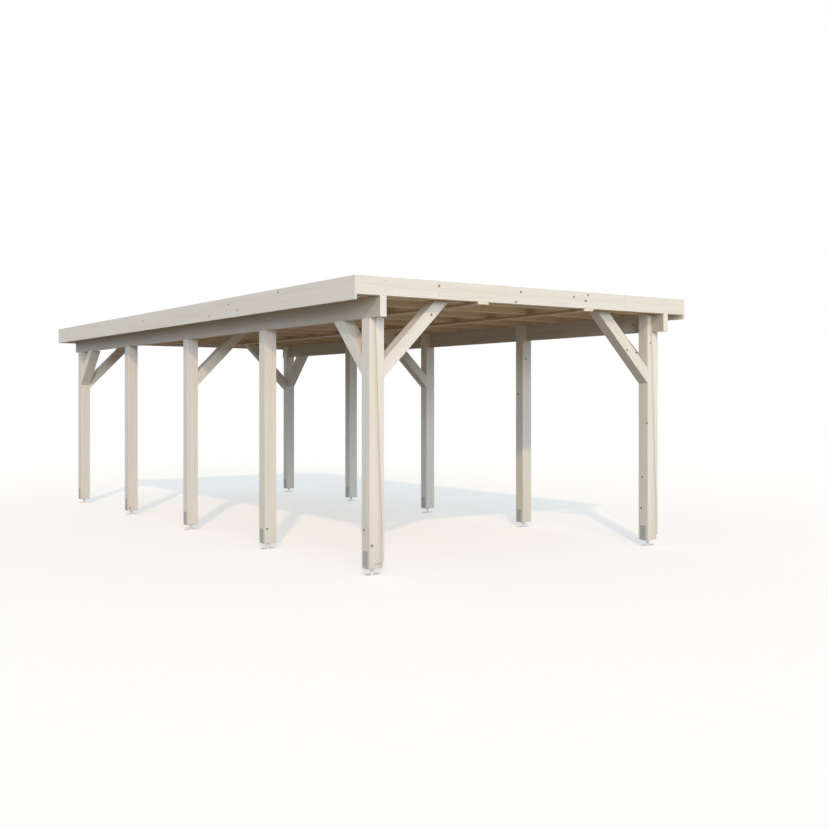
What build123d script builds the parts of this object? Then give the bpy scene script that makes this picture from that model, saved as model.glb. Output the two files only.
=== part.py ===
from build123d import *
import math
import os

os.makedirs("parts", exist_ok=True)

# Plan of the post grid, across is X and along is Y
row_spacing = 3140.0
bay_length = 1850.0
bays = 4
side_overhang = 285.0
end_overhang = 210.0

# Posts
post_size = 120.0
post_edge_round = 3.0
post_bottom = 58.0
beam_inset = 5.0

# Long side beams
beam_bottom = 2058.0
beam_height = 166.0
beam_thickness = 60.0

# Knee braces at forty five degrees
brace_width = 102.0
cross_brace_reach = 660.0
long_brace_reach = 450.0

# Cover battens on the right faces of the two front posts
batten_thickness = 17.0
batten_gap = 45.0

# Roof frame
rafter_width = 60.0
rafter_height = 100.0
rafters_per_bay = 3
tie_board_width = 112.0
tie_board_thickness = 22.0
tie_board_offset = 600.0

# Roof skin and edge boards
deck_thickness = 19.0
felt_thickness = 4.0
fascia_thickness = 18.0
front_fascia_height = 147.0
side_fascia_drop = 42.0

# Steel post bases
plate_width = 126.0
plate_depth = 66.0
plate_thickness = 6.0
plate_hole_radius = 5.5
plate_hole_across = 98.0
plate_hole_along = 38.0
rod_radius = 12.0
nut_radius = 20.0
nut_height = 12.0
saddle_thickness = 4.0
saddle_width = 64.0
saddle_height = 137.0

# Levels and edges that follow from the sizes above
half_post = post_size / 2
half_row = row_spacing / 2
half_width = half_row + side_overhang
half_grid = bay_length * bays / 2
half_length = half_grid + end_overhang
beam_top = beam_bottom + beam_height
rafter_top = beam_top + rafter_height
deck_top = rafter_top + deck_thickness
felt_top = deck_top + felt_thickness
fascia_top = beam_top + front_fascia_height
fascia_low = beam_top - side_fascia_drop
inner_width = half_width - fascia_thickness
inner_length = half_length - fascia_thickness
brace_rise = brace_width * math.sqrt(2)
batten_bottom = post_bottom + batten_gap
saddle_bottom = post_bottom - saddle_thickness
saddle_top = post_bottom + saddle_height
half_saddle = saddle_width / 2

line_names = ["front", "second", "middle", "fourth", "rear"]
line_places = [bay_length * number - half_grid for number in range(bays + 1)]
side_signs = {"left": -1, "right": 1}


def block(x_low, x_high, y_low, y_high, z_low, z_high):
    size = (x_high - x_low, y_high - y_low, z_high - z_low)
    corner = Pos(min(x_low, x_high), min(y_low, y_high), z_low)
    return corner * Box(abs(size[0]), abs(size[1]), size[2], align=(Align.MIN, Align.MIN, Align.MIN))


def save(name, shapes):
    for shape in shapes:
        shape.label = name
    piece = shapes[0] if len(shapes) == 1 else Compound(children=shapes)
    piece.label = name
    export_step(piece, "parts/" + name + ".step")


# A post is a square column, notched on its outer side for the beam
def post(sign, place):
    centre = sign * half_row
    column = block(centre - half_post, centre + half_post, place - half_post, place + half_post, post_bottom, beam_top)
    column = fillet(column.edges().filter_by(Axis.Z), post_edge_round)
    outer = centre + sign * half_post
    shoulder = outer - sign * (beam_inset + beam_thickness)
    notch = block(shoulder, outer, place - half_post, place + half_post, beam_bottom, beam_top)
    return column - notch


# A base is a drilled plate, a rod with its nut and a saddle that holds the post foot
def base(sign, place):
    centre = sign * half_row
    half_plate = plate_width / 2
    half_depth = plate_depth / 2
    plate = block(centre - half_plate, centre + half_plate, place - half_depth, place + half_depth, 0, plate_thickness)
    rod = Pos(centre, place, 0) * Cylinder(
        rod_radius, saddle_bottom, align=(Align.CENTER, Align.CENTER, Align.MIN)
    )
    nut = Pos(centre, place, saddle_bottom - nut_height) * extrude(RegularPolygon(nut_radius, 6), nut_height)
    outer = half_post + saddle_thickness
    saddle = block(
        centre - outer, centre + outer, place - half_saddle, place + half_saddle, saddle_bottom, saddle_top
    )
    seat = block(
        centre - half_post, centre + half_post, place - half_saddle, place + half_saddle, post_bottom, saddle_top
    )
    solid = plate + rod + nut + (saddle - seat)
    for across in (-1, 1):
        for along in (-1, 1):
            x = centre + across * plate_hole_across / 2
            y = place + along * plate_hole_along / 2
            solid = solid - Pos(x, y, 0) * Cylinder(plate_hole_radius, plate_thickness * 2)
    return solid


# A brace outline starts on the post face at zero and climbs to the given level
def brace_outline(top, reach):
    foot = top - reach
    points = [
        (0, foot),
        (reach, top),
        (reach - brace_rise, top),
        (0, foot + brace_rise),
    ]
    return points


def cross_brace(sign, place):
    face = sign * (half_row - half_post)
    points = [(face - sign * across, level) for across, level in brace_outline(beam_top, cross_brace_reach)]
    outline = Plane.XZ * make_face(Polyline(*points, close=True))
    return Pos(0, place, 0) * extrude(outline, half_post, both=True)


def long_brace(sign, place, direction):
    face = place + direction * half_post
    points = [(face + direction * along, level) for along, level in brace_outline(beam_bottom, long_brace_reach)]
    outline = Plane.YZ * make_face(Polyline(*points, close=True))
    return Pos(sign * half_row, 0, 0) * extrude(outline, half_post, both=True)


# A batten board stands on the right face of a front post, from above the foot up to the beam
def batten_board(sign):
    face = sign * half_row + half_post
    place = line_places[0]
    return block(face, face + batten_thickness, place - half_post, place + half_post, batten_bottom, beam_bottom)


# The batten is hollowed behind for the saddle plate
def batten(sign):
    face = sign * half_row + half_post
    place = line_places[0]
    pocket = block(
        face, face + saddle_thickness, place - half_saddle, place + half_saddle, batten_bottom, saddle_top
    )
    return batten_board(sign) - pocket


# Posts and post bases
for side, sign in side_signs.items():
    for line, place in zip(line_names, line_places):
        save(line + "_" + side + "_post", [post(sign, place)])
        save(line + "_" + side + "_post_base", [base(sign, place)])

# Cover battens on the front posts
for side, sign in side_signs.items():
    save("front_" + side + "_post_batten", [batten(sign)])

# Long side beams
for side, sign in side_signs.items():
    outer = sign * (half_row + half_post - beam_inset)
    inner = outer - sign * beam_thickness
    beam = block(outer, inner, -half_length, inner_length, beam_bottom, beam_top)
    save(side + "_side_beam", [beam])

# Knee braces across the bay at the front, middle and rear posts, the front left one trimmed by its batten
for side, sign in side_signs.items():
    for line, place in zip(line_names[::2], line_places[::2]):
        brace = cross_brace(sign, place)
        if side == "left" and line == "front":
            brace = brace - batten_board(sign)
        save(line + "_" + side + "_cross_brace", [brace])

# Knee braces along the beams at the four corner posts
for side, sign in side_signs.items():
    save("front_" + side + "_long_brace", [long_brace(sign, line_places[0], 1)])
    save("rear_" + side + "_long_brace", [long_brace(sign, line_places[-1], -1)])

# Rafters across the beams, with one behind each end fascia
half_rafter = rafter_width / 2
rafter_count = bays * rafters_per_bay + 1
rafter_pitch = bay_length / rafters_per_bay
rafter_places = [rafter_pitch * number - half_grid for number in range(rafter_count)]
rafter_places = [half_rafter - inner_length] + rafter_places + [inner_length - half_rafter]
rafters = []
for place in rafter_places:
    rafters.append(
        block(-inner_width, inner_width, place - half_rafter, place + half_rafter, beam_top, rafter_top)
    )
save("rafters", rafters)

# Flat tie boards under the rafters
for side, sign in side_signs.items():
    centre = sign * tie_board_offset
    half_board = tie_board_width / 2
    board = block(
        centre - half_board, centre + half_board, -half_length, inner_length, beam_top - tie_board_thickness, beam_top
    )
    save(side + "_tie_board", [board])

# Roof deck and roofing felt inside the fascia frame
deck = block(-inner_width, inner_width, -inner_length, inner_length, rafter_top, deck_top)
save("roof_deck", [deck])
felt = block(-inner_width, inner_width, -inner_length, inner_length, deck_top, felt_top)
save("roofing_felt", [felt])

# Fascia boards, the side ones covering the ends of the front and rear ones
front = block(-inner_width, inner_width, -half_length, -inner_length, beam_top, fascia_top)
save("front_fascia", [front])
rear = block(-inner_width, inner_width, inner_length, half_length, fascia_low, fascia_top)
save("rear_fascia", [rear])
for side, sign in side_signs.items():
    board = block(sign * inner_width, sign * half_width, -half_length, half_length, fascia_low, fascia_top)
    save(side + "_fascia", [board])
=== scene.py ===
import math
import random

import bmesh
import bpy
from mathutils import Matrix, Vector


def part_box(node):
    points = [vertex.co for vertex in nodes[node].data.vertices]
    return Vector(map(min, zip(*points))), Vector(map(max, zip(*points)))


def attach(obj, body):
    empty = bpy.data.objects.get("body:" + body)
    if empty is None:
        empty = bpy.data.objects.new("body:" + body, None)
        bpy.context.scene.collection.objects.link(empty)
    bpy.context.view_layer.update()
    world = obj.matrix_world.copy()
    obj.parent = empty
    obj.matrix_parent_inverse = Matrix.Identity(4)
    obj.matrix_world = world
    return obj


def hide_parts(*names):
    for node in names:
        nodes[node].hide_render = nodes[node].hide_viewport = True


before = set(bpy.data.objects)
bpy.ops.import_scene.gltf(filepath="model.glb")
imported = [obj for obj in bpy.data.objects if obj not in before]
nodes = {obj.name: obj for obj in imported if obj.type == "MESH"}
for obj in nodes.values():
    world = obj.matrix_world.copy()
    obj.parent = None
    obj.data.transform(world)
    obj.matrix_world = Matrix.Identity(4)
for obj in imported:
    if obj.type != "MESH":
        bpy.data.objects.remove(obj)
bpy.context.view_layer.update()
print("frame loaded with", len(nodes), "nodes")

lines = ["front", "second", "middle", "fourth", "rear"]
sides = {"left": -1, "right": 1}
up = Vector((0, 0, 1))
across = Vector((1, 0, 0))
along = Vector((0, 1, 0))
slope = math.sqrt(0.5)

# the level direction in which each knee brace climbs away from its post
braces = {}
for side, sign in sides.items():
    braces[side] = {line + "_" + side + "_cross_brace": -sign * across for line in lines[::2]}
    for line, heading in (("front", 1), ("rear", -1)):
        braces[side][line + "_" + side + "_long_brace"] = heading * along


def hexColour(code):
    parts = [int(code[place:place + 2], 16) / 255 for place in (1, 3, 5)]
    linear = [part / 12.92 if part <= 0.04045 else ((part + 0.055) / 1.055) ** 2.4 for part in parts]
    return (*linear, 1.0)


# adds a node with its settings and inputs: fixed values, sockets, or nodes for their first open output
def addNode(tree, kind, settings=None, inputs=None):
    node = tree.nodes.new(kind)
    for name, value in (settings or {}).items():
        setattr(node, name, value)
    for socket, value in (inputs or {}).items():
        if isinstance(value, bpy.types.Node):
            value = next(output for output in value.outputs if output.enabled)
        if isinstance(value, bpy.types.NodeSocket):
            tree.links.new(value, node.inputs[socket])
        else:
            node.inputs[socket].default_value = value
    return node


# settings that many nodes share
rgba = {"data_type": "RGBA"}
smooth = {"interpolation_type": "SMOOTHSTEP"}
times = {"operation": "MULTIPLY"}
larger = {"operation": "MAXIMUM"}


def newMaterial(name):
    material = bpy.data.materials.new(name)
    material.use_nodes = True
    material.node_tree.nodes.clear()
    return material, material.node_tree


# Knots on the faces that show most, in metres: front fascia, left fascia, posts, braces and right beam
knotPlaces = [
    (-1.058, -3.910, 2.330), (-0.193, -3.910, 2.330), (-0.248, -3.910, 2.241), (0.420, -3.910, 2.320),
    (0.590, -3.910, 2.347), (-1.855, -2.617, 2.343), (-1.855, -1.785, 2.243), (-1.855, -1.143, 2.229),
    (-1.855, 0.674, 2.289), (-1.855, 2.354, 2.328), (-1.607, -3.760, 0.241), (-1.630, -3.676, 0.361),
    (-1.607, -1.910, 0.194), (-1.607, 1.790, 0.086), (1.510, -3.751, 1.182), (1.510, -3.686, 0.661),
    (1.510, -3.673, 0.361), (1.548, -3.760, 1.950), (1.549, -1.910, 1.859), (1.510, -1.827, 1.469),
    (1.232, -3.760, 1.875), (1.352, -3.760, 1.854), (-1.027, -3.760, 2.105), (1.565, -3.514, 2.143),
]

# Planed spruce under a thin white glaze: pale, matte, soft growth rings and a few small dark knots.
# A pattern's two sizes are its length along the board and its width. A scattered knot's size is a share of
# its cell, and the rims and cores are in shares of the knot.
spruceLook = {
    "early": "#EDE7DC", "late": "#E3DACB", "streak": "#DBD0BD", "endGrain": "#E9DDC6",
    "knotRim": "#AD9371", "knotCore": "#453629", "figureShade": "#D6C6AD", "figureLine": "#A08668",
    "splash": "#B5AB9A",
    "pithShiftM": (37.0, 0.10, 0.14),
    "ringMm": 11.0,  # real rings are near 3 mm, drawn coarser so that they show
    "ringBendMm": (769.2, 166.7), "ringWarpMm": 16.0, "lateFrom": 0.35, "ringDepth": 0.4,
    "fibreMm": (250.0, 6.0), "fibreRamp": {"From Min": 0.45, "From Max": 0.8, "To Max": 0.45},
    "streakMm": (1111.0, 45.45), "streakRamp": {"From Min": 0.48, "From Max": 0.78, "To Max": 0.55},
    "knotCellMm": (374.0, 170.0), "knotShare": 0.12, "knotSize": {"To Min": 0.035, "To Max": 0.085},
    "scatteredRim": {"From Min": 1.7, "From Max": 0.8, "To Max": 0.7},
    "scatteredCore": {"From Min": 1.0, "From Max": 0.55, "To Max": 0.9},
    "placedKnotMm": 9.0,
    "placedRim": {"From Min": 1.8, "From Max": 1.0, "To Max": 0.6},
    "placedCore": {"From Min": 1.0, "From Max": 0.6, "To Max": 0.95},
    "figureFadeMm": 38.0, "figureDepth": 0.9, "figureLineMm": 3.5, "figureLineDepth": 0.75,
    "endDepth": 0.4,
    "splashTopMm": 230.0, "splashFootMm": 50.0, "splashDepth": 0.08, "blotchMm": 71.43,
    "lightness": {"To Min": 0.95, "To Max": 1.02}, "warmth": {"To Min": 1.10, "To Max": 0.92},
    "bump": 0.25, "reliefMm": 0.6, "roughness": {"To Min": 0.54, "To Max": 0.74}, "ior": 1.47,
    "specular": 0.35,
}
# Planed spruce of the roof without the glaze: yellower, darker as painted shade under the roof, and pale at
# the sawn ends
roofSpruceAndShadeLook = dict(
    spruceLook, early="#E4D1B3", late="#D8C2A0", streak="#D0B893", knotRim="#9C7E58", endGrain="#EFE5D2",
    ringDepth=0.3, endDepth=0.8, splashDepth=0.0)
# The tie boards: the roof's spruce, drawn browner on the faces as painted shade
tieShadedLook = dict(roofSpruceAndShadeLook, early="#C6B294", late="#BBA383", streak="#B19977", endDepth=0.95)
# The beams: the glazed spruce drawn darker on the long faces as painted shade, and pale at the sawn ends
beamShadedLook = dict(
    spruceLook, early="#D0C9BD", late="#C6BDAE", streak="#BEB3A1", endGrain="#F0EADF", endDepth=1.0,
    splashDepth=0.0)
# Painted shade of a saw kerf: dark wood colours that stand in for the shade inside the groove
kerfShadeLook = dict(spruceLook, early="#75644F", late="#695945", streak="#5D4E3C", splashDepth=0.0)


def spruce(name, look):
    material, tree = newMaterial(name)
    layers = {layer: addNode(tree, "ShaderNodeAttribute", {"attribute_name": layer}).outputs
              for layer in ("grain", "tone", "endGrain", "figure")}
    tone = layers["tone"]["Fac"]
    figure = layers["figure"]["Fac"]
    spot = addNode(tree, "ShaderNodeTexCoord").outputs["Object"]

    # each board is another stretch of the log, with its pith in another place
    shift = addNode(tree, "ShaderNodeVectorMath", {"operation": "SCALE"},
                    {0: look["pithShiftM"], "Scale": tone})
    place = addNode(tree, "ShaderNodeVectorMath", {"operation": "ADD"},
                    {0: layers["grain"]["Vector"], 1: shift})
    drawn = {}
    for pattern in ("ringBendMm", "fibreMm", "streakMm", "knotCellMm"):
        length, width = look[pattern]
        drawn[pattern] = addNode(tree, "ShaderNodeVectorMath", times,
                                 {0: place, 1: (1000 / length, 1000 / width, 1000 / width)})

    # growth rings round the pith, warped along the length
    warp = addNode(tree, "ShaderNodeTexNoise", None,
                   {"Scale": 1.0, "Detail": 2.0, "Vector": drawn["ringBendMm"]})
    crossCut = addNode(tree, "ShaderNodeVectorMath", times, {0: place, 1: (0.0, 1.0, 1.0)})
    radius = addNode(tree, "ShaderNodeVectorMath", {"operation": "LENGTH"}, {0: crossCut})
    warped = addNode(tree, "ShaderNodeMath", {"operation": "MULTIPLY_ADD"},
                     {0: warp, 1: look["ringWarpMm"] / 1000, 2: radius})
    phase = addNode(tree, "ShaderNodeMath", {"operation": "DIVIDE"}, {0: warped, 1: look["ringMm"] / 1000})
    ring = addNode(tree, "ShaderNodeMath", {"operation": "FRACT"}, {0: phase})
    late = addNode(tree, "ShaderNodeMapRange", smooth,
                   {"Value": ring, "From Min": look["lateFrom"], "To Max": look["ringDepth"]})

    # fibres and broad streaks along the board
    fibre = addNode(tree, "ShaderNodeTexNoise", None,
                    {"Scale": 1.0, "Detail": 4.0, "Roughness": 0.6, "Vector": drawn["fibreMm"]})
    broad = addNode(tree, "ShaderNodeTexNoise", None,
                    {"Scale": 1.0, "Detail": 3.0, "Vector": drawn["streakMm"]})
    fibreDepth = addNode(tree, "ShaderNodeMapRange", None, {**look["fibreRamp"], "Value": fibre})
    broadDepth = addNode(tree, "ShaderNodeMapRange", None, {**look["streakRamp"], "Value": broad})
    streaked = addNode(tree, "ShaderNodeMath", larger, {0: fibreDepth, 1: broadDepth})

    # scattered knots in about one cell of eight, stretched along the grain
    cells = addNode(tree, "ShaderNodeTexVoronoi", None, {"Scale": 1.0, "Vector": drawn["knotCellMm"]})
    chance = addNode(tree, "ShaderNodeSeparateColor", None, {0: cells.outputs["Color"]}).outputs
    chosen = addNode(tree, "ShaderNodeMath", {"operation": "LESS_THAN"}, {0: chance[0], 1: look["knotShare"]})
    size = addNode(tree, "ShaderNodeMapRange", None, {**look["knotSize"], "Value": chance[1]})
    nearScattered = addNode(tree, "ShaderNodeMath", {"operation": "DIVIDE"}, {0: cells, 1: size})

    # the placed knots, by the distance to the nearest one
    nearest = None
    for knotPlace in knotPlaces:
        away = addNode(tree, "ShaderNodeVectorMath", {"operation": "DISTANCE"}, {0: spot, 1: knotPlace})
        if nearest:
            away = addNode(tree, "ShaderNodeMath", {"operation": "MINIMUM"}, {0: nearest, 1: away})
        nearest = away
    nearPlaced = addNode(tree, "ShaderNodeMath", {"operation": "DIVIDE"},
                         {0: nearest, 1: look["placedKnotMm"] / 1000})
    knots = {}
    for zone in ("Rim", "Core"):
        inCell = addNode(tree, "ShaderNodeMapRange", smooth,
                         {**look["scattered" + zone], "Value": nearScattered})
        scattered = addNode(tree, "ShaderNodeMath", times, {0: inCell, 1: chosen})
        placed = addNode(tree, "ShaderNodeMapRange", smooth, {**look["placed" + zone], "Value": nearPlaced})
        knots[zone] = addNode(tree, "ShaderNodeMath", larger, {0: scattered, 1: placed})

    # one wide ring that leaves the front posts at a slant, darker up to its edge and pale past it
    fade = addNode(tree, "ShaderNodeMapRange", None, {
        "Value": figure, "From Min": 1 - look["figureFadeMm"] / 1000, "To Max": look["figureDepth"]})
    inside = addNode(tree, "ShaderNodeMath", {"operation": "LESS_THAN"}, {0: figure, 1: 1.0})
    shaded = addNode(tree, "ShaderNodeMath", times, {0: fade, 1: inside})
    edge = addNode(tree, "ShaderNodeMath", {"operation": "COMPARE"},
                   {0: figure, 1: 1.0, 2: look["figureLineMm"] / 2000})
    lined = addNode(tree, "ShaderNodeMath", times, {0: edge, 1: look["figureLineDepth"]})

    # sawn ends take the glaze in another way and have their own tone
    ended = addNode(tree, "ShaderNodeMath", times, {0: layers["endGrain"]["Fac"], 1: look["endDepth"]})

    # rain splash greys the wood close to the ground
    height = addNode(tree, "ShaderNodeSeparateXYZ", None, {0: spot}).outputs["Z"]
    low = addNode(tree, "ShaderNodeMapRange", smooth, {
        "Value": height, "From Min": look["splashTopMm"] / 1000, "From Max": look["splashFootMm"] / 1000,
        "To Max": look["splashDepth"]})
    blotch = addNode(tree, "ShaderNodeTexNoise", None,
                     {"Scale": 1000 / look["blotchMm"], "Detail": 3.0, "Vector": spot})
    splashed = addNode(tree, "ShaderNodeMath", times, {0: low, 1: blotch})

    # each colour is laid over the ones before it
    coats = {"late": late, "streak": streaked, "knotRim": knots["Rim"], "knotCore": knots["Core"],
             "figureShade": shaded, "figureLine": lined, "endGrain": ended, "splash": splashed}
    colour = hexColour(look["early"])
    for coat, share in coats.items():
        colour = addNode(tree, "ShaderNodeMix", rgba, {0: share, 6: colour, 7: hexColour(look[coat])})

    # boards differ a little from each other
    lightness = addNode(tree, "ShaderNodeMapRange", None, {**look["lightness"], "Value": tone})
    warmth = addNode(tree, "ShaderNodeMapRange", None, {**look["warmth"], "Value": tone})
    toned = addNode(tree, "ShaderNodeHueSaturation", None,
                    {"Saturation": warmth, "Value": lightness, "Color": colour})
    relief = addNode(tree, "ShaderNodeMath", {"operation": "ADD"}, {0: late, 1: fibre})
    bump = addNode(tree, "ShaderNodeBump", None,
                   {"Strength": look["bump"], "Distance": look["reliefMm"] / 1000, "Height": relief})
    rough = addNode(tree, "ShaderNodeMapRange", None, {**look["roughness"], "Value": fibre})
    shader = addNode(tree, "ShaderNodeBsdfPrincipled", None, {
        "Base Color": toned, "Roughness": rough, "Normal": bump, "IOR": look["ior"],
        "Specular IOR Level": look["specular"]})
    addNode(tree, "ShaderNodeOutputMaterial", None, {"Surface": shader})
    return material


# Hot-dip galvanised steel: pale zinc with a faint crystal spangle, dulled by a white skin of oxide that hides
# most of the metal, and pale enough to stand in for the sunlit base plates as painted light. The saddles
# above the rods are drawn greyer as painted shade.
zincLook = {
    "dull": "#E6E5E2", "bright": "#F3F2EF", "spangleMm": 11.0,
    "saddleShade": "#A2A4A8", "saddleShadeRamp": {"From Min": 0.053, "From Max": 0.054, "To Max": 0.9},
    "stain": "#C4C1BA", "stainMm": 60.0, "stainRamp": {"From Min": 0.52, "From Max": 0.75, "To Max": 0.3},
    "bump": 0.12, "reliefMm": 0.4, "roughness": {"To Min": 0.4, "To Max": 0.64}, "metallic": 0.35,
}


def galvanisedSteel(name, look):
    material, tree = newMaterial(name)
    spot = addNode(tree, "ShaderNodeTexCoord").outputs["Object"]
    spangle = addNode(tree, "ShaderNodeTexVoronoi", None, {"Scale": 1000 / look["spangleMm"], "Vector": spot})
    crystal = addNode(tree, "ShaderNodeSeparateColor", None, {0: spangle.outputs["Color"]}).outputs
    level = addNode(tree, "ShaderNodeSeparateXYZ", None, {0: spot}).outputs["Z"]
    # above the base plates the zinc turns greyer: painted shade on the saddles
    saddleShaded = addNode(tree, "ShaderNodeMapRange", None, {**look["saddleShadeRamp"], "Value": level})
    cloud = addNode(tree, "ShaderNodeTexNoise", None,
                    {"Scale": 1000 / look["stainMm"], "Detail": 5.0, "Vector": spot})
    stained = addNode(tree, "ShaderNodeMapRange", None, {**look["stainRamp"], "Value": cloud})
    colour = hexColour(look["dull"])
    for coat, share in {"bright": crystal[0], "saddleShade": saddleShaded, "stain": stained}.items():
        colour = addNode(tree, "ShaderNodeMix", rgba, {0: share, 6: colour, 7: hexColour(look[coat])})
    rough = addNode(tree, "ShaderNodeMapRange", None, {**look["roughness"], "Value": crystal[1]})
    bump = addNode(tree, "ShaderNodeBump", None,
                   {"Strength": look["bump"], "Distance": look["reliefMm"] / 1000, "Height": cloud})
    shader = addNode(tree, "ShaderNodeBsdfPrincipled", None,
                     {"Base Color": colour, "Metallic": look["metallic"], "Roughness": rough, "Normal": bump})
    addNode(tree, "ShaderNodeOutputMaterial", None, {"Surface": shader})
    return material


# Stainless wood screws: brushed, brighter and smoother than the zinc
stainlessLook = {"colour": "#B9B7B2", "brush": "#9A9894", "brushMm": 1.5,
                 "roughness": {"To Min": 0.22, "To Max": 0.42}, "metallic": 1.0}


def stainlessSteel(name, look):
    material, tree = newMaterial(name)
    spot = addNode(tree, "ShaderNodeTexCoord").outputs["Object"]
    marks = addNode(tree, "ShaderNodeTexNoise", None,
                    {"Scale": 1000 / look["brushMm"], "Detail": 2.0, "Vector": spot})
    colour = addNode(tree, "ShaderNodeMix", rgba,
                     {0: marks, 6: hexColour(look["colour"]), 7: hexColour(look["brush"])})
    rough = addNode(tree, "ShaderNodeMapRange", None, {**look["roughness"], "Value": marks})
    shader = addNode(tree, "ShaderNodeBsdfPrincipled", None,
                     {"Base Color": colour, "Metallic": look["metallic"], "Roughness": rough})
    addNode(tree, "ShaderNodeOutputMaterial", None, {"Surface": shader})
    return material


# Bitumen pressed out of a welded lap: black, smooth and half glossy
beadLook = {"black": "#1D1F20", "grey": "#3A3C3C", "smearMm": 25.0, "bump": 0.4, "reliefMm": 1.0,
            "roughness": 0.45, "ior": 1.6}


def meltedBitumen(name, look):
    material, tree = newMaterial(name)
    spot = addNode(tree, "ShaderNodeTexCoord").outputs["Object"]
    smear = addNode(tree, "ShaderNodeTexNoise", None,
                    {"Scale": 1000 / look["smearMm"], "Detail": 3.0, "Vector": spot})
    colour = addNode(tree, "ShaderNodeMix", rgba,
                     {0: smear, 6: hexColour(look["black"]), 7: hexColour(look["grey"])})
    bump = addNode(tree, "ShaderNodeBump", None,
                   {"Strength": look["bump"], "Distance": look["reliefMm"] / 1000, "Height": smear})
    shader = addNode(tree, "ShaderNodeBsdfPrincipled", None, {
        "Base Color": colour, "Roughness": look["roughness"], "IOR": look["ior"], "Normal": bump})
    addNode(tree, "ShaderNodeOutputMaterial", None, {"Surface": shader})
    return material


# Slated bitumen felt: crushed stone pressed in black bitumen, rough and without shine
feltLook = {
    "slate": "#5A5F61", "paleSlate": "#7C8183", "bitumen": "#2E3132", "dust": "#6B675D",
    "gritMm": 4.0,  # real grit is near 1 mm, drawn coarser so that it shows
    "gapRamp": {"From Min": 0.35, "From Max": 0.75},
    "dustMm": 700.0, "dustRamp": {"From Min": 0.45, "From Max": 0.75, "To Max": 0.4},
    "bump": 0.5, "reliefMm": 1.0, "roughness": 0.93, "ior": 1.5,
}


def roofingFelt(name, look):
    material, tree = newMaterial(name)
    spot = addNode(tree, "ShaderNodeTexCoord").outputs["Object"]
    grit = addNode(tree, "ShaderNodeTexVoronoi", None, {"Scale": 1000 / look["gritMm"], "Vector": spot})
    stone = addNode(tree, "ShaderNodeSeparateColor", None, {0: grit.outputs["Color"]}).outputs
    gap = addNode(tree, "ShaderNodeMapRange", None, {**look["gapRamp"], "Value": grit})
    cloud = addNode(tree, "ShaderNodeTexNoise", None,
                    {"Scale": 1000 / look["dustMm"], "Detail": 6.0, "Vector": spot})
    settled = addNode(tree, "ShaderNodeMapRange", None, {**look["dustRamp"], "Value": cloud})
    colour = hexColour(look["slate"])
    for coat, share in {"paleSlate": stone[0], "bitumen": gap, "dust": settled}.items():
        colour = addNode(tree, "ShaderNodeMix", rgba, {0: share, 6: colour, 7: hexColour(look[coat])})
    bump = addNode(tree, "ShaderNodeBump", None,
                   {"Strength": look["bump"], "Distance": look["reliefMm"] / 1000, "Height": stone[1]})
    shader = addNode(tree, "ShaderNodeBsdfPrincipled", None, {
        "Base Color": colour, "Roughness": look["roughness"], "IOR": look["ior"], "Normal": bump})
    addNode(tree, "ShaderNodeOutputMaterial", None, {"Surface": shader})
    return material


glazedSpruce = spruce("glazedSpruce", spruceLook)
roofSpruceAndShade = spruce("roofSpruceWithPaintedShade", roofSpruceAndShadeLook)
tieShadedSpruce = spruce("tieSpruceWithPaintedShade", tieShadedLook)
beamShadedSpruce = spruce("beamSpruceWithPaintedShade", beamShadedLook)
kerfShadeSpruce = spruce("kerfPaintedShade", kerfShadeLook)
zinc = galvanisedSteel("galvanisedSteel", zincLook)
stainless = stainlessSteel("stainlessSteel", stainlessLook)
felt = roofingFelt("slatedFelt", feltLook)
bitumen = meltedBitumen("meltedBitumen", beadLook)
print("materials made")


def meshOf(shape, name):
    mesh = bpy.data.meshes.new(name)
    shape.to_mesh(mesh)
    shape.free()
    return mesh


def addPiece(name, mesh, material):
    piece = bpy.data.objects.new(name, mesh)
    bpy.context.scene.collection.objects.link(piece)
    mesh.materials.clear()
    mesh.materials.append(material)
    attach(piece, "root")
    return piece


# the islands of a mesh, each one board, in order of their middles
def islandsOf(shape):
    left = set(shape.verts)
    islands = []
    while left:
        found = [left.pop()]
        for vertex in found:
            for edge in vertex.link_edges:
                other = edge.other_vert(vertex)
                if other in left:
                    left.discard(other)
                    found.append(other)
        islands.append(found)
    islands.sort(key=lambda found: tuple(
        round(sum(vertex.co[part] for vertex in found) / len(found), 3) for part in range(3)))
    return islands


# Timber: each CAD board with eased edges, its own grain direction and its own stretch of wood
timber = {"mergeMm": 0.01, "flatDegrees": 1, "sharpDegrees": 30, "easingMm": 2.0, "easingSteps": 2,
          "endGrainShare": 0.6, "smoothBelowM2": 0.004, "seed": 11}
luck = random.Random(timber["seed"])


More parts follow.
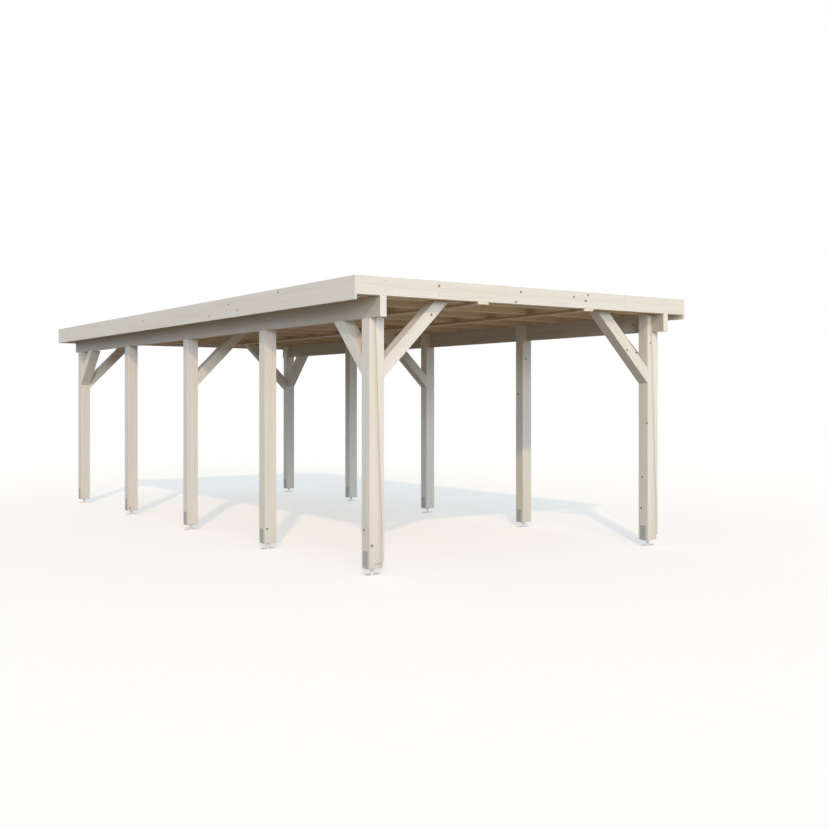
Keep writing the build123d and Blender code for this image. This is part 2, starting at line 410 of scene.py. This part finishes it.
def dressTimber(node, axis, material=glazedSpruce, figureLine=None):
    shape = bmesh.new()
    shape.from_mesh(nodes[node].data)
    bmesh.ops.remove_doubles(shape, verts=shape.verts, dist=timber["mergeMm"] / 1000)
    bmesh.ops.dissolve_limit(shape, angle_limit=math.radians(timber["flatDegrees"]), verts=shape.verts,
                             edges=shape.edges)
    sharp = [edge for edge in shape.edges
             if len(edge.link_faces) == 2 and edge.calc_face_angle(0) > math.radians(timber["sharpDegrees"])]
    bmesh.ops.bevel(shape, geom=sharp, offset=timber["easingMm"] / 1000, segments=timber["easingSteps"],
                    affect="EDGES", profile=0.5, clamp_overlap=True)
    grain = shape.verts.layers.float_vector.new("grain")
    tone = shape.verts.layers.float.new("tone")
    figure = shape.verts.layers.float.new("figure")
    endGrain = shape.faces.layers.float.new("endGrain")
    beside = axis.cross(across if abs(axis.x) < 0.5 else along).normalized()
    deep = axis.cross(beside)
    for board in islandsOf(shape):
        middle = sum((vertex.co for vertex in board), Vector()) / len(board)
        boardTone = luck.random()
        for vertex in board:
            away = vertex.co - middle
            vertex[grain] = (vertex.co.dot(axis), away.dot(beside), away.dot(deep))
            vertex[tone] = boardTone
            if figureLine:
                vertex[figure] = 1 + vertex.co.x - figureLine(vertex.co.z)
    for face in shape.faces:
        face[endGrain] = 1.0 if abs(face.normal.dot(axis)) > timber["endGrainShare"] else 0.0
        face.smooth = face.calc_area() < timber["smoothBelowM2"]
    piece = addPiece(node + "_timber", meshOf(shape, node + "_timber"), material)
    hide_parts(node)
    return piece


# where the slanted ring leaves the front face of a front post, in shares of the post width
frontFigure = {"topShare": 0.46, "footShare": 1.05, "topMm": 2060.0, "footMm": 100.0}


def figureOn(node):
    low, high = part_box(node)
    width = high.x - low.x
    rise = frontFigure["topMm"] - frontFigure["footMm"]
    lean = (frontFigure["footShare"] - frontFigure["topShare"]) / rise

    def lineAt(height):
        share = frontFigure["topShare"] + lean * (frontFigure["topMm"] - height * 1000)
        return low.x + width * share
    return lineAt


for side in sides:
    for line in lines:
        post = line + "_" + side + "_post"
        dressTimber(post, up, figureLine=figureOn(post) if line == "front" else None)
    dressTimber("front_" + side + "_post_batten", up)
    dressTimber(side + "_side_beam", along, beamShadedSpruce)
    dressTimber(side + "_tie_board", along, tieShadedSpruce)
    dressTimber(side + "_fascia", along)
    for brace, run in braces[side].items():
        dressTimber(brace, (run + up) * slope)
for end in ("front", "rear"):
    dressTimber(end + "_fascia", across)
rafterPiece = dressTimber("rafters", across, roofSpruceAndShade)
print("timber dressed")

# the bases and the felt keep their CAD shape
carried = {line + "_" + side + "_post_base": zinc for side in sides for line in lines}
carried["roofing_felt"] = felt
for node, material in carried.items():
    nodes[node].data.materials.clear()
    nodes[node].data.materials.append(material)


# a geometry tree with its named inputs, and the outputs of its input node
def newGroup(name, inputs):
    group = bpy.data.node_groups.new(name, "GeometryNodeTree")
    for socketName, kind in {"Geometry": "Geometry", **inputs, "Material": "Material"}.items():
        group.interface.new_socket(name=socketName, in_out="INPUT", socket_type="NodeSocket" + kind)
    group.interface.new_socket(name="Geometry", in_out="OUTPUT", socket_type="NodeSocketGeometry")
    return group, addNode(group, "NodeGroupInput").outputs


# every tree ends in real geometry with its material
def endGroup(group, laid, material):
    real = addNode(group, "GeometryNodeRealizeInstances", None, {0: laid})
    painted = addNode(group, "GeometryNodeSetMaterial", None, {"Geometry": real, "Material": material})
    addNode(group, "NodeGroupOutput", None, {0: painted})
    return group


# runs a tree on a start mesh and keeps the result as a plain mesh
def growPiece(name, startMesh, group, values, material):
    start = bpy.data.objects.new(name + "Start", startMesh)
    bpy.context.scene.collection.objects.link(start)
    modifier = start.modifiers.new("grow", "NODES")
    modifier.node_group = group
    values = {**values, "Material": material}
    for socket in group.interface.items_tree:
        if socket.in_out == "INPUT" and socket.name in values:
            modifier[socket.identifier] = values[socket.name]
    graph = bpy.context.evaluated_depsgraph_get()
    mesh = bpy.data.meshes.new_from_object(start.evaluated_get(graph))
    start.modifiers.remove(modifier)
    bpy.data.objects.remove(start)
    mesh.name = name
    return addPiece(name, mesh, material)


# a mesh of loose points, each with the direction that its fastener faces
def pointMesh(name, spots):
    mesh = bpy.data.meshes.new(name)
    mesh.from_pydata([spot for spot, facing in spots], [], [])
    layer = mesh.attributes.new("facing", "FLOAT_VECTOR", "POINT")
    for number, (spot, facing) in enumerate(spots):
        layer.data[number].vector = facing
    return mesh


# A fastener head on a washer, set on every point and turned to face out
def fastenerGroup(name):
    group, start = newGroup(name, {
        "Head Radius": "Float", "Head Height": "Float", "Head Taper": "Float", "Head Sides": "Int",
        "Washer Radius": "Float", "Washer Height": "Float", "Washer Sides": "Int"})
    top = addNode(group, "ShaderNodeMath", times, {0: start["Head Radius"], 1: start["Head Taper"]})
    head = addNode(group, "GeometryNodeMeshCone", None, {
        "Vertices": start["Head Sides"], "Radius Top": top, "Radius Bottom": start["Head Radius"],
        "Depth": start["Head Height"]})
    lift = addNode(group, "ShaderNodeCombineXYZ", None, {"Z": start["Washer Height"]})
    headUp = addNode(group, "GeometryNodeTransform", None, {"Geometry": head, "Translation": lift})
    washer = addNode(group, "GeometryNodeMeshCone", None, {
        "Vertices": start["Washer Sides"], "Radius Top": start["Washer Radius"],
        "Radius Bottom": start["Washer Radius"], "Depth": start["Washer Height"]})
    both = addNode(group, "GeometryNodeJoinGeometry", None, {0: headUp})
    group.links.new(washer.outputs["Mesh"], both.inputs[0])
    facing = addNode(group, "GeometryNodeInputNamedAttribute", {"data_type": "FLOAT_VECTOR"},
                     {"Name": "facing"})
    turn = addNode(group, "FunctionNodeAlignRotationToVector", {"axis": "Z"}, {"Vector": facing})
    placed = addNode(group, "GeometryNodeInstanceOnPoints", None,
                     {"Points": start["Geometry"], "Instance": both, "Rotation": turn})
    return endGroup(group, placed, start["Material"])


fasteners = fastenerGroup("fasteners")
washerSides = 20


def addFasteners(name, spots, size, material):
    values = {
        "Head Radius": size["headMm"] / 2000, "Head Height": size["heightMm"] / 1000,
        "Head Taper": size["taper"], "Head Sides": size["sides"], "Washer Radius": size["washerMm"] / 2000,
        "Washer Height": size["washerThickMm"] / 1000, "Washer Sides": washerSides}
    return growPiece(name, pointMesh(name + "Points", spots), fasteners, values, material)


# Flat-headed screws through the saddle plates, and flat anchor heads on each base plate
saddleScrew = {"headMm": 13, "heightMm": 1.6, "taper": 0.7, "sides": 16, "washerMm": 13.6,
               "washerThickMm": 0.3, "fromTopMm": (28, 92)}
anchorHead = {"headMm": 16, "heightMm": 2.2, "taper": 0.75, "sides": 16, "washerMm": 17,
              "washerThickMm": 0.5, "acrossMm": 98, "alongMm": 38, "plateMm": 6}
# Thread on the rods, as rings at the thread's pitch
thread = {"rodMm": 24, "pitchMm": 2.5, "depthMm": 0.9, "lowMm": 8, "highMm": 41, "steps": 18, "ridgeSides": 4}
saddleSpots = []
anchorSpots = []
rodSpots = []
for side in sides:
    for line in lines:
        low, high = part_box(line + "_" + side + "_post_base")
        middle = (low + high) / 2
        for drop in saddleScrew["fromTopMm"]:
            level = high.z - drop / 1000
            saddleSpots.append(((low.x, middle.y, level), (-1, 0, 0)))
            if line != "front":
                saddleSpots.append(((high.x, middle.y, level), (1, 0, 0)))
        for right in (-1, 1):
            for back in (-1, 1):
                spot = (middle.x + right * anchorHead["acrossMm"] / 2000,
                        middle.y + back * anchorHead["alongMm"] / 2000, anchorHead["plateMm"] / 1000)
                anchorSpots.append((spot, (0, 0, 1)))
        rodSpots.append(((middle.x, middle.y, thread["lowMm"] / 1000), (0, 0, 1)))
addFasteners("saddle_screws", saddleSpots, saddleScrew, zinc)
addFasteners("anchor_heads", anchorSpots, anchorHead, zinc)

# Countersunk screws in posts, braces, tie boards and fascias
woodScrew = {"headMm": 8, "heightMm": 0.7, "taper": 0.8, "sides": 14, "washerMm": 8.4, "washerThickMm": 0.3,
             "pairMm": 60, "endMm": 70, "beamRowsMm": (42, 118), "fasciaRowsMm": (30, 110),
             "fasciaPitchMm": 610}
halfPair = woodScrew["pairMm"] / 2000
screwEnd = woodScrew["endMm"] / 1000
screwSpots = []
for side, sign in sides.items():
    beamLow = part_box(side + "_side_beam")[0]
    for line in lines:
        postLow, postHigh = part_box(line + "_" + side + "_post")
        inner = postLow.x if sign > 0 else postHigh.x
        for rise in woodScrew["beamRowsMm"]:
            spot = (inner, (postLow.y + postHigh.y) / 2, beamLow.z + rise / 1000)
            screwSpots.append((spot, (-sign, 0, 0)))
# a pair near each end of every brace, on its lower face
for side in sides:
    for brace, run in braces[side].items():
        low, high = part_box(brace)
        half = (high - low) / 2
        foot = (low + high) / 2 - run * abs(half.dot(run)) - up * half.z
        beside = along if abs(run.x) > 0.5 else across
        length = (high.z - low.z) / slope
        for reach in (screwEnd, length - screwEnd):
            for hand in (-1, 1):
                spot = foot + (run + up) * slope * reach + beside * hand * halfPair
                screwSpots.append((tuple(spot), tuple((run - up) * slope)))

rafterShape = bmesh.new()
rafterShape.from_mesh(rafterPiece.data)
rafterPlaces = [sum(vertex.co.y for vertex in board) / len(board) for board in islandsOf(rafterShape)]
rafterShape.free()
for side, sign in sides.items():
    low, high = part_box(side + "_tie_board")
    fasciaLow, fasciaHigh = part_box(side + "_fascia")
    outer = fasciaHigh.x if sign > 0 else fasciaLow.x
    for place in rafterPlaces:
        for hand in (-1, 1):
            screwSpots.append((((low.x + high.x) / 2 + hand * halfPair, place, low.z), (0, 0, -1)))
        for drop in woodScrew["fasciaRowsMm"]:
            screwSpots.append(((outer, place, fasciaHigh.z - drop / 1000), (sign, 0, 0)))
for end, heading in (("front", -1), ("rear", 1)):
    low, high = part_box(end + "_fascia")
    outer = low.y if heading < 0 else high.y
    count = int((high.x - low.x) * 1000 / woodScrew["fasciaPitchMm"]) + 1
    for number in range(count):
        place = low.x + (high.x - low.x) * (number + 0.5) / count
        for drop in woodScrew["fasciaRowsMm"]:
            screwSpots.append(((place, outer, high.z - drop / 1000), (0, heading, 0)))
addFasteners("wood_screws", screwSpots, woodScrew, stainless)
print("fasteners placed:", len(saddleSpots) + len(anchorSpots) + len(screwSpots))


def threadGroup(name):
    group, start = newGroup(name, {
        "Rod Radius": "Float", "Ridge": "Float", "Ridge Sides": "Int", "Pitch": "Float", "Rings": "Int",
        "Steps": "Int"})
    circle = addNode(group, "GeometryNodeCurvePrimitiveCircle", None,
                     {"Resolution": start["Steps"], "Radius": start["Rod Radius"]})
    ridge = addNode(group, "GeometryNodeCurvePrimitiveCircle", None,
                    {"Resolution": start["Ridge Sides"], "Radius": start["Ridge"]})
    ring = addNode(group, "GeometryNodeCurveToMesh", None, {"Curve": circle, "Profile Curve": ridge})
    pitch = addNode(group, "ShaderNodeCombineXYZ", None, {"Z": start["Pitch"]})
    stack = addNode(group, "GeometryNodeMeshLine", None, {"Count": start["Rings"], "Offset": pitch})
    rings = addNode(group, "GeometryNodeInstanceOnPoints", None, {"Points": stack, "Instance": ring})
    rods = addNode(group, "GeometryNodeInstanceOnPoints", None,
                   {"Points": start["Geometry"], "Instance": rings})
    return endGroup(group, rods, start["Material"])


ringCount = int((thread["highMm"] - thread["lowMm"]) / thread["pitchMm"])
growPiece("rod_threads", pointMesh("rodPoints", rodSpots), threadGroup("rodThread"), {
    "Rod Radius": thread["rodMm"] / 2000, "Ridge": thread["depthMm"] / 1000,
    "Ridge Sides": thread["ridgeSides"], "Pitch": thread["pitchMm"] / 1000, "Rings": ringCount,
    "Steps": thread["steps"]}, zinc)
print("threads cut:", ringCount, "rings a rod")

# Deck boards along the roof, chamfered so that a groove shows between them from below
deckBoards = {"widthMm": 118.0, "gapMm": 0.6, "chamferMm": 4.0, "seed": 5}


def boardGroup(name):
    group, start = newGroup(name, {
        "Width": "Float", "Thickness": "Float", "Length": "Float", "Chamfer": "Float", "Pitch": "Float",
        "Count": "Int", "Corner": "Vector", "Seed": "Int"})
    section = addNode(group, "GeometryNodeCurvePrimitiveQuadrilateral", None,
                      {"Width": start["Width"], "Height": start["Thickness"]})
    eased = addNode(group, "GeometryNodeFilletCurve", {"mode": "POLY"},
                    {"Count": 1, "Curve": section, "Radius": start["Chamfer"]})
    far = addNode(group, "ShaderNodeCombineXYZ", None, {"Y": start["Length"]})
    run = addNode(group, "GeometryNodeCurvePrimitiveLine", None, {"End": far})
    board = addNode(group, "GeometryNodeCurveToMesh", None,
                    {"Curve": run, "Profile Curve": eased, "Fill Caps": True})
    spot = addNode(group, "GeometryNodeInputPosition")
    parts = addNode(group, "ShaderNodeSeparateXYZ", None, {0: spot}).outputs
    swapped = addNode(group, "ShaderNodeCombineXYZ", None,
                      {"X": parts["Y"], "Y": parts["X"], "Z": parts["Z"]})
    grained = addNode(group, "GeometryNodeStoreNamedAttribute", {"data_type": "FLOAT_VECTOR"},
                      {"Name": "grain", "Geometry": board, "Value": swapped})
    step = addNode(group, "ShaderNodeCombineXYZ", None, {"X": start["Pitch"]})
    row = addNode(group, "GeometryNodeMeshLine", None,
                  {"Count": start["Count"], "Start Location": start["Corner"], "Offset": step})
    laid = addNode(group, "GeometryNodeInstanceOnPoints", None, {"Points": row, "Instance": grained})
    chance = addNode(group, "FunctionNodeRandomValue", {"data_type": "FLOAT"}, {"Seed": start["Seed"]})
    toned = addNode(group, "GeometryNodeStoreNamedAttribute", {"data_type": "FLOAT", "domain": "INSTANCE"},
                    {"Name": "tone", "Geometry": laid, "Value": chance})
    return endGroup(group, toned, start["Material"])


deckLow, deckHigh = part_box("roof_deck")
boardCount = round((deckHigh.x - deckLow.x) * 1000 / deckBoards["widthMm"])
boardPitch = (deckHigh.x - deckLow.x) / boardCount
deckPiece = growPiece("roof_deck_boards", bpy.data.meshes.new("deckStart"), boardGroup("deckBoards"), {
    "Width": boardPitch - deckBoards["gapMm"] / 1000, "Thickness": deckHigh.z - deckLow.z,
    "Length": deckHigh.y - deckLow.y, "Chamfer": deckBoards["chamferMm"] / 1000, "Pitch": boardPitch,
    "Count": boardCount, "Corner": (deckLow.x + boardPitch / 2, deckLow.y, (deckLow.z + deckHigh.z) / 2),
    "Seed": deckBoards["seed"]}, roofSpruceAndShade)
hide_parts("roof_deck")
print("deck laid:", boardCount, "boards")

# A shallow saw kerf across the front of the near post, above its foot, drawn as a thin dark strip of painted
# shade set a little proud of the face
kerf = {"post": "front_left_post", "fromMm": 37.0, "toMm": 118.0, "levelMm": 92.0, "openMm": 5.0,
        "proudMm": 0.4, "sunkMm": 3.0}


def paintKerfShade(look):
    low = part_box(look["post"])[0]
    start = low.x + look["fromMm"] / 1000
    stop = low.x + look["toMm"] / 1000
    half = look["openMm"] / 2000
    level = look["levelMm"] / 1000
    face = low.y - look["proudMm"] / 1000
    outline = [(start, level), ((start + stop) / 2, level - half), (stop, level - half), (stop, level + half),
               ((start + stop) / 2, level + half)]
    shape = bmesh.new()
    front = [shape.verts.new((x, face, z)) for x, z in outline]
    back = [shape.verts.new((x, face + look["sunkMm"] / 1000, z)) for x, z in outline]
    shape.faces.new(front)
    shape.faces.new(back[::-1])
    for number in range(len(outline)):
        after = (number + 1) % len(outline)
        shape.faces.new((front[number], front[after], back[after], back[number]))
    bmesh.ops.recalc_face_normals(shape, faces=shape.faces)
    addPiece("front_left_post_kerf_painted_shade", meshOf(shape, "front_left_post_kerf_painted_shade"), kerfShadeSpruce)


paintKerfShade(kerf)

# Felt laps across the roof, and a fillet where the felt turns up at the edge boards
feltLap = {"rollMm": 920.0, "lapMm": 80.0, "stepMm": 3.0, "thinMm": 0.4, "beadMm": 11.0, "filletMm": 16.0}
feltLow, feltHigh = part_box("roofing_felt")


# A four-sided section run across the roof, once for each lap
def runGroup(name):
    group, start = newGroup(name, {
        "Across": "Float", "Corner 1": "Vector", "Corner 2": "Vector", "Corner 3": "Vector",
        "Corner 4": "Vector", "Pitch": "Float", "Count": "Int", "First": "Vector"})
    far = addNode(group, "ShaderNodeCombineXYZ", None, {"X": start["Across"]})
    run = addNode(group, "GeometryNodeCurvePrimitiveLine", None, {"End": far})
    section = addNode(group, "GeometryNodeCurvePrimitiveQuadrilateral", {"mode": "POINTS"},
                      {"Point " + corner: start["Corner " + corner] for corner in "1234"})
    strip = addNode(group, "GeometryNodeCurveToMesh", None,
                    {"Curve": run, "Profile Curve": section, "Fill Caps": True})
    step = addNode(group, "ShaderNodeCombineXYZ", None, {"Y": start["Pitch"]})
    row = addNode(group, "GeometryNodeMeshLine", None,
                  {"Count": start["Count"], "Start Location": start["First"], "Offset": step})
    laid = addNode(group, "GeometryNodeInstanceOnPoints", None, {"Points": row, "Instance": strip})
    return endGroup(group, laid, start["Material"])


# a lap is a thin wedge, half sunk in the felt below, with a flat bead along its thick edge
rollWidth = feltLap["rollMm"] / 1000
lapCount = int((feltHigh.y - feltLow.y) / rollWidth)
lapStep = feltLap["stepMm"] / 1000
lapEnd = feltLap["lapMm"] / 1000
lapThin = feltLap["thinMm"] / 1000
beadHalf = feltLap["beadMm"] / 2000
lapSections = {
    "felt_laps": (felt, [(0, -lapStep, 0), (0, lapStep, 0), (lapEnd, lapThin, 0), (lapEnd, -lapThin, 0)]),
    "lap_beads": (bitumen, [(-beadHalf, 0, 0), (0, lapStep, 0), (beadHalf, 0, 0), (0, -lapStep, 0)]),
}
for name, (material, corners) in lapSections.items():
    values = {"Corner " + str(number + 1): corner for number, corner in enumerate(corners)}
    values.update({"Across": feltHigh.x - feltLow.x, "Pitch": rollWidth, "Count": lapCount,
                   "First": (feltLow.x, feltLow.y + rollWidth, feltHigh.z)})
    startMesh = bpy.data.meshes.new(name + "Start")
    growPiece(name, startMesh, runGroup(name + "Run"), values, material)


def feltFillet():
    shape = bmesh.new()
    size = feltLap["filletMm"] / 1000
    corners = [(feltLow.x, feltLow.y, 1, 1), (feltHigh.x, feltLow.y, -1, 1), (feltHigh.x, feltHigh.y, -1, -1),
               (feltLow.x, feltHigh.y, 1, -1)]
    sections = []
    for x, y, inwardX, inwardY in corners:
        points = [(x, y, feltHigh.z), (x, y, feltHigh.z + size),
                  (x + inwardX * size, y + inwardY * size, feltHigh.z)]
        sections.append([shape.verts.new(point) for point in points])
    for here, there in zip(sections, sections[1:] + sections[:1]):
        for first, second in ((0, 1), (1, 2), (2, 0)):
            shape.faces.new((here[first], here[second], there[second], there[first]))
    bmesh.ops.recalc_face_normals(shape, faces=shape.faces)
    addPiece("felt_upstand", meshOf(shape, "felt_upstand"), felt)


feltFillet()
print("felt laid:", lapCount, "laps")


# one for the rays that bring a surface to the eye: straight, by a mirror or through glass
def shownRays(tree):
    path = addNode(tree, "ShaderNodeLightPath").outputs
    seen = addNode(tree, "ShaderNodeMath", larger, {0: path["Is Camera Ray"], 1: path["Is Glossy Ray"]})
    return addNode(tree, "ShaderNodeMath", larger, {0: seen, 1: path["Is Transmission Ray"]})


# Stage: a pale floor that fades to white. What it throws back at the object is dim and brown under the roof,
# grey at its sides and paler in front.
stageLook = {"pale": "#F6EFE4", "white": "#FFFFFF", "glow": 0.42, "under": "#7D6343", "beside": "#968C81",
             "before": "#D2C6B6", "underXM": 2.1, "underYM": 4.3, "edgeShares": (0.97, 1.03),
             "radiusM": 60.0, "steps": 64, "fadeFromM": 7.0, "fadeToM": 15.0}


def stageFloor(look):
    material, tree = newMaterial("paleFloor")
    spot = addNode(tree, "ShaderNodeTexCoord").outputs["Object"]
    inner, outer = look["edgeShares"]
    share = addNode(tree, "ShaderNodeVectorMath", times,
                    {0: spot, 1: (1 / look["underXM"], 1 / look["underYM"], 0.0)})
    size = addNode(tree, "ShaderNodeVectorMath", {"operation": "ABSOLUTE"}, {0: share})
    spread = addNode(tree, "ShaderNodeSeparateXYZ", None, {0: size}).outputs
    reach = addNode(tree, "ShaderNodeMath", larger, {0: spread["X"], 1: spread["Y"]})
    outside = addNode(tree, "ShaderNodeMapRange", None,
                      {"Value": reach, "From Min": inner, "From Max": outer})
    heading = addNode(tree, "ShaderNodeSeparateXYZ", None, {0: share}).outputs["Y"]
    inFront = addNode(tree, "ShaderNodeMapRange", None,
                      {"Value": heading, "From Min": -inner, "From Max": -outer})
    around = addNode(tree, "ShaderNodeMix", rgba,
                     {0: inFront, 6: hexColour(look["beside"]), 7: hexColour(look["before"])})
    ground = addNode(tree, "ShaderNodeMix", rgba, {0: outside, 6: hexColour(look["under"]), 7: around})
    bounce = addNode(tree, "ShaderNodeBsdfDiffuse", None, {"Color": ground})
    pale = addNode(tree, "ShaderNodeBsdfDiffuse", None, {"Color": hexColour(look["pale"])})
    glow, white = [
        addNode(tree, "ShaderNodeEmission", None, {"Color": hexColour(look["white"]), "Strength": strength})
        for strength in (look["glow"], 1.0)]
    lit = addNode(tree, "ShaderNodeAddShader", None, {0: pale, 1: glow})
    distance = addNode(tree, "ShaderNodeVectorMath", {"operation": "LENGTH"}, {0: spot})
    fade = addNode(tree, "ShaderNodeMapRange", smooth,
                   {"Value": distance, "From Min": look["fadeFromM"], "From Max": look["fadeToM"]})
    faded = addNode(tree, "ShaderNodeMixShader", None, {0: fade, 1: lit, 2: white})
    both = addNode(tree, "ShaderNodeMixShader", None, {0: shownRays(tree), 1: bounce, 2: faded})
    addNode(tree, "ShaderNodeOutputMaterial", None, {"Surface": both})
    shape = bmesh.new()
    bmesh.ops.create_circle(shape, cap_ends=True, radius=look["radiusM"], segments=look["steps"])
    mesh = meshOf(shape, "floor")
    mesh.materials.append(material)
    floor = bpy.data.objects.new("floor", mesh)
    bpy.context.scene.collection.objects.link(floor)


stageFloor(stageLook)

# Light: a warm key from the front left, a lower cool front light, and a cool fill, stronger near the horizon
light = {"key": "#FFDFBC", "keyPower": 1.1, "keySoftDegrees": 2.0, "keyTravel": (0.64, 1.0, -0.68),
         "front": "#F4F9FF", "frontPower": 0.95, "frontSoftDegrees": 14.0, "frontTravel": (0.42, 1.0, -0.2),
         "fill": "#DCEEFF", "fillLow": 1.12, "fillHigh": 0.34, "fillFrom": 0.3, "fillTo": 0.75,
         "backdrop": "#FFFFFF"}
for name in ("key", "front"):
    lampData = bpy.data.lights.new(name, "SUN")
    lampData.energy = light[name + "Power"]
    lampData.color = hexColour(light[name])[:3]
    lampData.angle = math.radians(light[name + "SoftDegrees"])
    lamp = bpy.data.objects.new(name, lampData)
    lamp.rotation_euler = Vector(light[name + "Travel"]).to_track_quat("-Z", "Y").to_euler()
    bpy.context.scene.collection.objects.link(lamp)

world = bpy.data.worlds.new("studio")
bpy.context.scene.world = world
world.use_nodes = True
sky = world.node_tree
sky.nodes.clear()
direction = addNode(sky, "ShaderNodeTexCoord").outputs["Generated"]
steep = addNode(sky, "ShaderNodeSeparateXYZ", None, {0: direction}).outputs["Z"]
strength = addNode(sky, "ShaderNodeMapRange", smooth, {
    "Value": steep, "From Min": light["fillFrom"], "From Max": light["fillTo"], "To Min": light["fillLow"],
    "To Max": light["fillHigh"]})
fill = addNode(sky, "ShaderNodeBackground", None, {"Color": hexColour(light["fill"]), "Strength": strength})
white = addNode(sky, "ShaderNodeBackground", None, {"Color": hexColour(light["backdrop"]), "Strength": 1.0})
mixed = addNode(sky, "ShaderNodeMixShader", None, {0: shownRays(sky), 1: fill, 2: white})
addNode(sky, "ShaderNodeOutputWorld", None, {"Surface": mixed})

# Camera: eye height of a standing person, level, with the photograph's horizon
view = {"imagePixels": 828, "focalPixels": 1082.4, "horizonPixel": 400.1, "turnDegrees": 34.32,
        "place": (-6.189, -11.065, 1.402), "sensorMm": 36.0}
cameraData = bpy.data.cameras.new("camera")
cameraData.sensor_width = view["sensorMm"]
cameraData.lens = view["focalPixels"] / view["imagePixels"] * view["sensorMm"]
cameraData.shift_y = (view["horizonPixel"] - view["imagePixels"] / 2) / view["imagePixels"]
camera = bpy.data.objects.new("camera", cameraData)
camera.location = view["place"]
camera.rotation_euler = (math.radians(90), 0, -math.radians(view["turnDegrees"]))
bpy.context.scene.collection.objects.link(camera)
bpy.context.scene.camera = camera
bpy.context.scene.view_settings.view_transform = "Standard"
print("stage, light and camera set")
